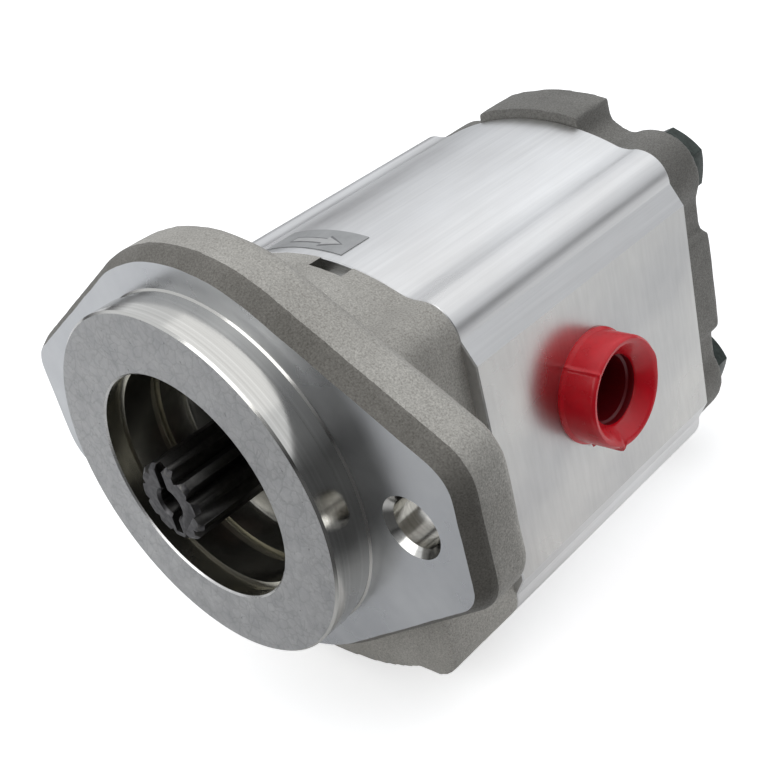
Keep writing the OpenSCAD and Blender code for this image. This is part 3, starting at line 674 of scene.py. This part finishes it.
def bearing_of(point, centre):
    """The direction from a centre to a point, in degrees from +X."""
    return math.degrees(math.atan2(point[1] - centre[1], point[0] - centre[0]))


valley = crossing((0, DOME_Z), DOME_R, (LOBE_X, LOBE_Z), LOBE_R)
dome_arc = arc_points((0, DOME_Z), DOME_R, 90, bearing_of(valley, (0, DOME_Z)) + 3, 24)
lobe_arc = arc_points((LOBE_X, LOBE_Z), LOBE_R, bearing_of(valley, (LOBE_X, LOBE_Z)) - 22, 0, 16)
shoulder = dome_arc + [tuple(valley)] + lobe_arc
section = quarter_to_outline(shoulder + [(HALF_W, 0)], [valley])
body_section = quarter_to_outline(shoulder + [(PORT_X, SHOULDER_Z), (PORT_X, 0)], [valley])
print("outline points:", len(section), "covers,", len(body_section), "body")
print("valley at", tuple(round(c, 2) for c in valley))

# %% [markdown]
# ## Pump body
# A length of extrusion, sawn off and faced at both ends. Its end edges are broken by a small
# bevel, which draws the thin line of light at each joint. The blank could be a scaled cube with
# rounded edges, but only an extruded outline gives the domes, lobes and valleys of the real one.

# %% Body blank
EDGE_BREAK = 0.3
bm = bmesh.new()
extruded_y(bm, body_section, BODY_Y, REAR_Y)
ends = [f for f in bm.faces if abs(f.normal.y) > 0.9]
rim = {e for f in ends for e in f.edges}
bmesh.ops.bevel(bm, geom=list(rim), offset=EDGE_BREAK, offset_type="OFFSET", affect="EDGES", segments=1,
                profile=0.5, material=-1)
body = as_object("body_extrusion", bm, extruded, port_face)
for face in body.data.polygons:
    if abs(face.normal.x) > 0.99 and abs(face.center.x) > PORT_X - 0.5:
        face.material_index = 1
print("body blank:", len(body.data.polygons), "faces")

# %% [markdown]
# **Chamber, bolt holes and ports.** The gears run in two bores that overlap, and four long holes
# take the bolts. A port is a narrow passage, a threaded bore and a broken edge at its mouth. A
# helix would be the true thread, but rings look the same in a dark bore and stay closed under the
# cut, so each turn is a ring of its own. The inlet also has a shallow round spotface.

# %% Chamber, bolt holes and ports
for z in (0, -GEAR_PITCH):
    cut(body, moved_to(plain_bore(CHAMBER_R, BODY_Y - PAST, REAR_Y + PAST), 0, 0, z), bearing_metal)
for x, z in BOLT_PLACES:
    bolt_bore = plain_bore(BOLT_HOLE_R, BODY_Y - PAST, REAR_Y + PAST, 48)
    cut(body, moved_to(bolt_bore, x, 0, z), bearing_metal)

THREAD_PITCH, THREAD_TOOTH, THREAD_L, THREAD_GAP = 2.309, 1.15, 18.0, 0.2
SPOTFACE_R, SPOTFACE_DEPTH = 21.95, 0.5
MOUTH_BREAK, PASSAGE_END = 1.4, 10.0
# each port: its side, its thread's radius, its passage's radius, and where its face is
PORTS = ((1, 12.06, 9.0, PORT_X), (-1, 15.15, 12.0, PORT_X - SPOTFACE_DEPTH))


def threaded(radius):
    """Profile of a threaded bore: one V groove for each turn, from the inner end to the mouth."""
    points, y = [(radius, PORT_X - THREAD_L)], PORT_X - THREAD_L + 1.0
    while y + THREAD_PITCH < PORT_X - 1.5:
        points += [(radius, y + THREAD_GAP), (radius + THREAD_TOOTH, y + THREAD_PITCH / 2),
                   (radius, y + THREAD_PITCH - THREAD_GAP)]
        y += THREAD_PITCH
    return points


for side, radius, passage, face in PORTS:
    profile = [(0, PASSAGE_END), (passage, PASSAGE_END), (passage, PORT_X - THREAD_L)] + threaded(radius)
    profile += [(radius, face - MOUTH_BREAK), (radius + MOUTH_BREAK, face)]
    profile += [(radius + MOUTH_BREAK, PORT_X + PAST), (0, PORT_X + PAST)]
    cut(body, facing_x(turned(profile, 96), side), thread_metal)
spotface = plain_bore(SPOTFACE_R, PORT_X - SPOTFACE_DEPTH, PORT_X + PAST, 96)
cut(body, facing_x(spotface, -1), machined)
finished(body, "housing", "body_aluminium", "pump_body", angle=20)

# %% [markdown]
# ## Castings
# A sand casting has no sharp edges: corners are rounded, and walls run into each other in small
# fillets. A voxel remesh joins the rough shapes of a blank into one skin, smoothing rounds its
# edges, and a slight noise gives the skin its waviness. The cuts come after that, because a
# machined edge is sharp.

# %% Helper for the castings
def casting(name, bm, voxel, rounds, waviness, skin=cast_iron):
    """Joins a blank's shapes into one skin with rounded edges."""
    blank = as_object(name, bm, skin)
    modifier = blank.modifiers.new("skin", "REMESH")
    modifier.mode, modifier.voxel_size = "VOXEL", voxel
    baked(blank)
    bm = bmesh.new()
    bm.from_mesh(blank.data)
    for _ in range(rounds):
        bmesh.ops.smooth_vert(bm, verts=bm.verts, factor=0.5,
                              use_axis_x=True, use_axis_y=True, use_axis_z=True)
    bm.normal_update()
    for v in bm.verts:
        v.co += v.normal * waviness * (noise.noise(v.co * 0.12) + 0.45 * noise.noise(v.co * 0.45))
    bm.to_mesh(blank.data)
    bm.free()
    if not blank.data.materials:
        blank.data.materials.append(skin)
    print(name, "skin:", len(blank.data.polygons), "faces")
    return blank


print("casting() ready")

# %% [markdown]
# ## Front cover
# The blank is a disc with two ears, then the pilot as a short cylinder, and the block that meets
# the body. At five stations along Y there is one circle for the disc and two for each ear, a
# little larger behind the face, and a convex hull wraps them all: that gives the straight flanks
# of the flange and its flare at once, where a modelled outline would need both by hand.

# %% Front cover blank
EAR_X, EAR_Z, EAR_R = 57.2, 9.5, 8.0
stations = [(-1.5, -0.5), (1.2, 0.3), (3.4, 2.8), (FLANGE_T - 1.2, 2.8), (FLANGE_T + 0.3, 1.4)]
ears = [(sx * EAR_X, sz * EAR_Z, EAR_R) for sx in (-1, 1) for sz in (-1, 1)]
bm = bmesh.new()
for y, grow in stations:
    for x, z, r in [(0, 0, FACE_R)] + ears:
        ring = bmesh.ops.create_circle(bm, segments=72, radius=r + grow)
        bmesh.ops.rotate(bm, verts=ring["verts"], matrix=Matrix.Rotation(math.pi / 2, 3, "X"))
        bmesh.ops.translate(bm, verts=ring["verts"], vec=(x, y, z))
hull = bmesh.ops.convex_hull(bm, input=bm.verts)
inner = [v for v in hull["geom_interior"] + hull["geom_unused"] if isinstance(v, bmesh.types.BMVert)]
bmesh.ops.delete(bm, geom=inner, context="VERTS")
pilot = turned([(0, PILOT_Y - 1.5), (PILOT_R + 1.5, PILOT_Y - 1.5), (PILOT_R + 1.5, 5), (0, 5)])
scratch = bpy.data.meshes.new("scratch")
pilot.to_mesh(scratch)
bm.from_mesh(scratch)
pilot.free()
bpy.data.meshes.remove(scratch)
extruded_y(bm, section, FLANGE_T - 1.0, BODY_Y + 1.5)
cover = casting("front_casting", bm, 0.95, 3, 0.12)

# %% [markdown]
# **Turning.** What has to be exact is cut after the casting: one tool turns the pilot and the
# face, with a shallow relief where they meet, and a second one turns the recess with its grooves,
# the seal bore and the way for the shaft. Then the recess gets a small bright chamfer at its
# mouth, and the joint face at the back is cut flat. On the real cover this is lathe work too.

# %% Turning the pilot, the face and the bores
RELIEF, RECESS_R, SEAL_BORE_R, SHAFT_BORE_R = 0.5, 27.0, 17.5, 12.5
outside = turned([(0, -20), (90, -20), (90, 0), (PILOT_R - RELIEF + 0.4, 0), (PILOT_R - RELIEF, -0.4),
                  (PILOT_R - RELIEF, -3.2), (PILOT_R, -3.6), (PILOT_R, PILOT_Y + 0.5),
                  (PILOT_R - 0.5, PILOT_Y), (0, PILOT_Y)])
cut(cover, outside, machined)
recess = turned([(0, PILOT_Y - PAST), (RECESS_R, PILOT_Y - PAST), (RECESS_R, -7.8), (28, -7.3),
                 (28, -5.5), (RECESS_R, -5.0), (RECESS_R, 2.5), (28.4, 3.0), (28.4, 4.6),
                 (RECESS_R, 5.1), (RECESS_R, 10.5), (26.5, 11.5), (25.5, 12), (18.3, 12),
                 (SEAL_BORE_R, 12.8), (SEAL_BORE_R, 13), (18.6, 13), (18.6, 14.3),
                 (SEAL_BORE_R, 14.3), (SEAL_BORE_R, 30), (SHAFT_BORE_R, 30),
                 (SHAFT_BORE_R, BODY_Y + 2), (0, BODY_Y + 2)])
cut(cover, recess, recess_metal)
mouth = turned([(0, PILOT_Y - PAST), (28.4, PILOT_Y - PAST), (27.4, PILOT_Y),
                (RECESS_R, PILOT_Y + 0.4), (0, PILOT_Y + 0.4)])
cut(cover, mouth, thread_metal)
HALF_SPACE = 200.0  # a cube so large that its near side acts as a flat cut
bm = bmesh.new()
bmesh.ops.create_cube(bm, size=HALF_SPACE)
cut(cover, moved_to(bm, 0, BODY_Y + HALF_SPACE / 2, 0), machined)
print("turned faces cut")

# %% [markdown]
# **Holes and slot.** Two mounting holes go through the ears, with a wide chamfer in front that
# catches the light. Four blind holes take the bolts, each with the cone that a drill leaves. The
# small dark slot at the joint is there to pry the cover off. It is a plain box, taken away.

# %% Holes and slot
MOUNT_X, MOUNT_R, MOUNT_CHAMFER_R, MOUNT_CHAMFER_L = 53.2, 5.55, 7.0, 1.45
TAPPED_R, DRILL_TIP_Y, TAPPED_Y = 5.02, 15.5, 18.0
PRY_MID_X, PRY_W, PRY_TOOL_L, PRY_TOOL_H, PRY_DEPTH = 9.1, 9.4, 4.8, 12.0, 2.2
PRY_MID_Y, PRY_MID_Z = BODY_Y - 1.4, MID_Z + HALF_H - PRY_DEPTH + PRY_TOOL_H / 2
for side in (-1, 1):
    hole = turned([(0, -PAST), (MOUNT_CHAMFER_R, -PAST), (MOUNT_CHAMFER_R, 0),
                   (MOUNT_R, MOUNT_CHAMFER_L), (MOUNT_R, FLANGE_T + 2), (0, FLANGE_T + 2)], 96)
    cut(cover, moved_to(hole, side * MOUNT_X, 0, 0), turned_bright)
for x, z in BOLT_PLACES:
    tapped = turned([(0, DRILL_TIP_Y), (TAPPED_R, TAPPED_Y), (TAPPED_R, BODY_Y + PAST),
                     (0, BODY_Y + PAST)], 48)
    cut(cover, moved_to(tapped, x, 0, z), thread_metal)
bm = bmesh.new()
bmesh.ops.create_cube(bm, size=1.0)
bmesh.ops.scale(bm, verts=bm.verts, vec=(PRY_W, PRY_TOOL_L, PRY_TOOL_H))
cut(cover, moved_to(bm, PRY_MID_X, PRY_MID_Y, PRY_MID_Z), recess_metal)
print("two mounting holes,", len(BOLT_PLACES), "bolt holes and the slot cut")

# %% [markdown]
# One tool turned the pilot's wall, the pilot's front and the face, so all three have the same
# material now. Each face's place tells which of the three finishes it should have. Two bands on
# the recess wall get a brighter metal, a painted highlight for the shine on them, and the cast
# faces beside the flange's face get the darker skin of painted shade.

# %% Finishes on the turned faces
slots = {m.name: i for i, m in enumerate(cover.data.materials)}
for extra in (turned_bright, pilot_front, band_shade_iron, recess_highlight_band):
    if extra.name not in slots:
        cover.data.materials.append(extra)
        slots[extra.name] = len(cover.data.materials) - 1
SHADE_BAND_END = 4.4  # where the painted shade band beside the face ends
# The two bands on the recess wall, along Y, that get the painted highlight.
HIGHLIGHT_BANDS = ((-9.8, -5.0), (2.5, 5.1))
for face in cover.data.polygons:
    on_wall = math.hypot(face.center.x, face.center.z) > RECESS_R - 0.5
    in_highlight_band = on_wall and any(a < face.center.y < b for a, b in HIGHLIGHT_BANDS)
    if face.material_index == slots[recess_metal.name] and in_highlight_band:
        face.material_index = slots[recess_highlight_band.name]
    # Cast faces close to the flange's face take the painted shade skin.
    if face.material_index == slots[cast_iron.name] and face.center.y < SHADE_BAND_END:
        face.material_index = slots[band_shade_iron.name]
    if face.material_index != slots[machined.name] or face.center.y > 1:
        continue
    if abs(face.center.y - PILOT_Y) < 0.01:
        face.material_index = slots[pilot_front.name]
    elif face.center.y < -0.01:
        face.material_index = slots[turned_bright.name]
finished(cover, "housing", "cast_iron", "front_cover")

# %% [markdown]
# ## Rear cover
# A flat casting with a boss round each bolt, scalloped between the bosses and pulled in at the
# sides. One quarter of its outline is a short piece of dome, the hollow arc of the scallop, the
# arc of a boss and a waist; it is mirrored twice, like the body's. It is smoothed more than the
# front cover, because the real casting is rounder, and its joint face is cut flat afterwards.

# %% Rear cover
BOLT_SEAT_Y, BOLT_SEAT_R = 130.5, 9.4
REAR_DOME, REAR_RISE, BOSS_R, SCALLOP_R = 15.4, 2.6, 11.7, 11.3
SCALLOP, BOSS, WAIST_X, WAIST_Z = (24.3, 50.4), (BOLT_X, BOLT_Z), HALF_W - 2.3, 13.8
top = (0, DOME_Z + REAR_RISE)
dome_end = math.degrees(math.acos(REAR_DOME / DOME_R))
scallop_end = (REAR_DOME, SCALLOP[1] - math.sqrt(SCALLOP_R ** 2 - (SCALLOP[0] - REAR_DOME) ** 2))
meet = crossing(BOSS, BOSS_R, SCALLOP, SCALLOP_R)
boss_end = -math.degrees(math.acos((WAIST_X - BOLT_X) / BOSS_R))
quarter = arc_points(top, DOME_R, 90, dome_end, 12)
quarter += arc_points(SCALLOP, SCALLOP_R, bearing_of(scallop_end, SCALLOP), bearing_of(meet, SCALLOP), 14)
quarter += arc_points(BOSS, BOSS_R, bearing_of(meet, BOSS), boss_end, 28)[1:]
quarter += [(WAIST_X, WAIST_Z), (HALF_W, WAIST_Z), (HALF_W, 0)]
bm = bmesh.new()
extruded_y(bm, quarter_to_outline(quarter), REAR_Y - 1.5, BACK_Y)
rear = casting("rear_casting", bm, 0.9, 7, 0.1, rear_shade_iron)
bm = bmesh.new()
bmesh.ops.create_cube(bm, size=HALF_SPACE)
cut(rear, moved_to(bm, 0, REAR_Y - HALF_SPACE / 2, 0), rear_shade_iron)
for x, z in BOLT_PLACES:
    hole = turned([(0, REAR_Y - PAST), (BOLT_HOLE_R, REAR_Y - PAST), (BOLT_HOLE_R, BOLT_SEAT_Y),
                   (BOLT_SEAT_R, BOLT_SEAT_Y), (BOLT_SEAT_R, BACK_Y + PAST), (0, BACK_Y + PAST)], 64)
    cut(rear, moved_to(hole, x, 0, z), turned_bright)
finished(rear, "housing", "cast_iron", "rear_cover")

# %% [markdown]
# ## Plug in the outlet
# A soft push-in cap keeps dirt out until the pump is fitted. It is turned in one profile: a
# hollow stem with a closed end, a collar, and a mouth that narrows like a funnel. Then its collar
# is pushed out at three places around the axis: a small nub, a thin mould line and a soft corner.
# Each is given by its angle, its height and its width in degrees. Modelling them as separate
# lumps would leave seams on what is one moulding.

# %% Plug
CAP_L = 9.0
wall, lip = PORT_X, PORT_X + CAP_L
profile = [(0, 28.9), (10.4, 28.9), (11.6, 29.6), (12.0, 30.8), (12.0, wall - 0.02), (13.55, wall),
           (13.6, wall + 0.6), (13.0, wall + 1.3), (12.95, lip - 1.1), (12.75, lip - 0.35), (12.3, lip),
           (11.7, lip - 0.05), (11.0, lip - 0.5), (9.6, lip - 1.9), (8.5, lip - 3.0), (8.1, lip - 3.6),
           (8.15, lip - 5.2), (7.6, lip - 5.6), (7.3, 32.4), (6.9, 31.3), (6.0, 30.7), (0, 30.7)]
bm = turned(profile, 360)
RIBS = ((18.0, 1.0, 2.4), (137.0, 0.3, 1.6), (-101.0, 0.35, 9.0))
RIB_START_R, RIB_BLEND = 10.5, 1.5
for v in bm.verts:
    r = math.hypot(v.co.x, v.co.z)
    if r > RIB_START_R and v.co.y > wall + 0.1:
        angle = math.degrees(math.atan2(v.co.z, v.co.x))
        offs = [abs((angle - rib[0] + 180) % 360 - 180) for rib in RIBS]
        grow = sum(rise * math.exp(-(off / width) ** 2) for off, (_, rise, width) in zip(offs, RIBS))
        share = min(1.0, (r - RIB_START_R) / RIB_BLEND)
        v.co.x *= 1 + grow * share / r
        v.co.z *= 1 + grow * share / r
bmesh.ops.rotate(bm, verts=bm.verts, matrix=Matrix.Rotation(math.pi / 2, 3, "Y"))
plug = as_object("port_cap", facing_x(bm, 1), red_plastic, red_hollow_shade)
# The faces inside the hollow take the darker red, which is painted shade.
HOLLOW_R, HOLLOW_END = 8.3, lip - 3.6
for face in plug.data.polygons:
    off_axis = math.hypot(face.center.y - PORT_Y, face.center.z - PORT_Z)
    if off_axis < HOLLOW_R and face.center.x < HOLLOW_END:
        face.material_index = 1
finished(plug, "port_plug", "plug_plastic", "outlet_port_plug", angle=40)

# %% [markdown]
# ## Machined small parts
# The exact solids of the shafts, bolts and rings have the right shape, but their edges are
# perfectly sharp. A copy of each is cleaned up, its flat faces are joined again, and its sharp
# edges are bevelled, so they catch the light as real broken edges do.

# %% Bevelled copies of the small parts
SHARP_ANGLE = math.radians(28.0)


def softened(node, name, body, slot, material, width, segments=2, end=None):
    """Replaces a solid by a copy with bevelled edges; end gives one flat end its own material."""
    bm = bmesh.new()
    bm.from_mesh(nodes[node].data)
    bmesh.ops.scale(bm, verts=bm.verts, vec=(1 / MM,) * 3)
    bmesh.ops.remove_doubles(bm, verts=bm.verts, dist=0.002)
    bmesh.ops.dissolve_limit(bm, angle_limit=math.radians(1.0), verts=bm.verts, edges=bm.edges)
    joined_edges = [e for e in bm.edges if len(e.link_faces) == 2]
    sharp_edges = [e for e in joined_edges if e.calc_face_angle(0) > SHARP_ANGLE]
    bmesh.ops.bevel(bm, geom=sharp_edges, offset=width, offset_type="OFFSET", affect="EDGES",
                    segments=segments, profile=0.5, material=-1, clamp_overlap=True)
    for face in bm.faces:
        face.material_index = 0
        if end is not None and end[0](face):
            face.material_index = 1
    finished(as_object(name, bm, material, *([end[1]] if end else [])), body, slot, node)


shaft_tip = (lambda f: f.normal.y < -0.7 and f.calc_center_median().y < -14.0, shaft_end)
softened("drive_gear_shaft", "drive_shaft", "drive_gear", "gear_steel", gear_steel, 0.12, end=shaft_tip)
softened("idler_gear_shaft", "idler_shaft", "idler_gear", "gear_steel", gear_steel, 0.12)
softened("cover_bolts", "through_bolts", "housing", "black_oxide_steel", black_oxide, 0.35, 3)
softened("bolt_washers", "washers", "housing", "black_oxide_steel", black_oxide, 0.2)
softened("seal_circlip", "retaining_ring", "housing", "black_oxide_steel", black_oxide, 0.12)
softened("outer_shaft_seal", "front_lip_seal", "housing", "shaft_seal_rubber", seal_rubber, 0.15)
print("small parts replaced")

# %% [markdown]
# ## Label
# A thin foil label on the dome shows which way the shaft turns, with an outlined arrow. The foil
# is a flat strip that is cut into short lengths and then laid on the dome's arc. The arrow is two
# thin layers on top of it: a dark outline, and a lighter filling. They are shapes and not a
# pattern in the foil's material, so that their edges stay crisp close up.

# %% Label
STRIP = 0.5  # length of the pieces that follow the dome, in millimetres


def on_dome(name, outline, height, thickness, material):
    """A flat outline of (x, y) points, cut into strips and laid on the dome."""
    bm = bmesh.new()
    face = bm.faces.new([bm.verts.new((x, y, 0)) for x, y in outline])
    xs = [x for x, _ in outline]
    steps = int((max(xs) - min(xs)) / STRIP)
    for i in range(1, steps):
        x = min(xs) + (max(xs) - min(xs)) * i / steps
        bmesh.ops.bisect_plane(bm, geom=bm.verts[:] + bm.edges[:] + bm.faces[:], dist=0.0001,
                               plane_co=(x, 0, 0), plane_no=(1, 0, 0))
    grown = bmesh.ops.extrude_face_region(bm, geom=bm.faces[:], use_keep_orig=True)
    for v in (g for g in grown["geom"] if isinstance(g, bmesh.types.BMVert)):
        v.co.z = thickness
    for v in bm.verts:
        v.co.z = math.sqrt((DOME_R + height + v.co.z) ** 2 - v.co.x ** 2) + DOME_Z + MID_Z
    bmesh.ops.recalc_face_normals(bm, faces=bm.faces)
    return as_object(name, bm, material)


def arrow(x0, x1, y, half, head, inset=0.0):
    """Outline of a block arrow from x0 to x1 that points to +X."""
    neck = x1 - head
    return [(x0 + inset, y - half + inset), (neck, y - half + inset), (neck, y - 2 * half + 1.8 * inset),
            (x1 - 1.6 * inset, y), (neck, y + 2 * half - 1.8 * inset), (neck, y + half - inset),
            (x0 + inset, y + half - inset)]


LABEL_X, LABEL_Y = (-17, 8), (38.6, 47.6)
ARROW = {"x0": -11, "x1": 4.9, "y": 42.3, "half": 1.3, "head": 5.6}
ARROW_LINE = 0.4
foil = [(LABEL_X[i], LABEL_Y[j]) for i, j in ((0, 0), (1, 0), (1, 1), (0, 1))]
label = on_dome("label_foil", foil, 0.02, 0.16, label_foil)
outline = on_dome("label_arrow", arrow(**ARROW), 0.18, 0.03, label_ink)
filling = on_dome("label_arrow_fill", arrow(**ARROW, inset=ARROW_LINE), 0.21, 0.02, label_light)
finished(label, "housing", "label_foil", "rotation_label")
finished(outline, "housing", "label_foil")
finished(filling, "housing", "label_foil")

# %% [markdown]
# ## Inner parts
# The other solids already have the right shape, so they stay, and each gets its own metal,
# rubber or plastic in place of the plain colour. They could be bevelled too, but they lie inside,
# where no light reaches their edges.

# %% Finishes on the inner parts
inner_finishes = {
    bearing_metal: ("front_bearing_block", "rear_bearing_block"),
    bronze: ("front_drive_bush", "front_idler_bush", "rear_drive_bush", "rear_idler_bush"),
    seal_rubber: ("inner_shaft_seal",),
    bright_steel: ("seal_garter_springs", "seal_spacer", "front_dowel_pins", "rear_dowel_pins"),
    black_rubber: ("front_body_seal", "rear_body_seal", "front_pressure_seal", "rear_pressure_seal"),
    ivory_plastic: ("front_backup_ring", "rear_backup_ring"),
}
for material, names in inner_finishes.items():
    for name in names:
        nodes[name].data.materials.clear()
        nodes[name].data.materials.append(material)
print("inner parts finished:", sum(len(names) for names in inner_finishes.values()))
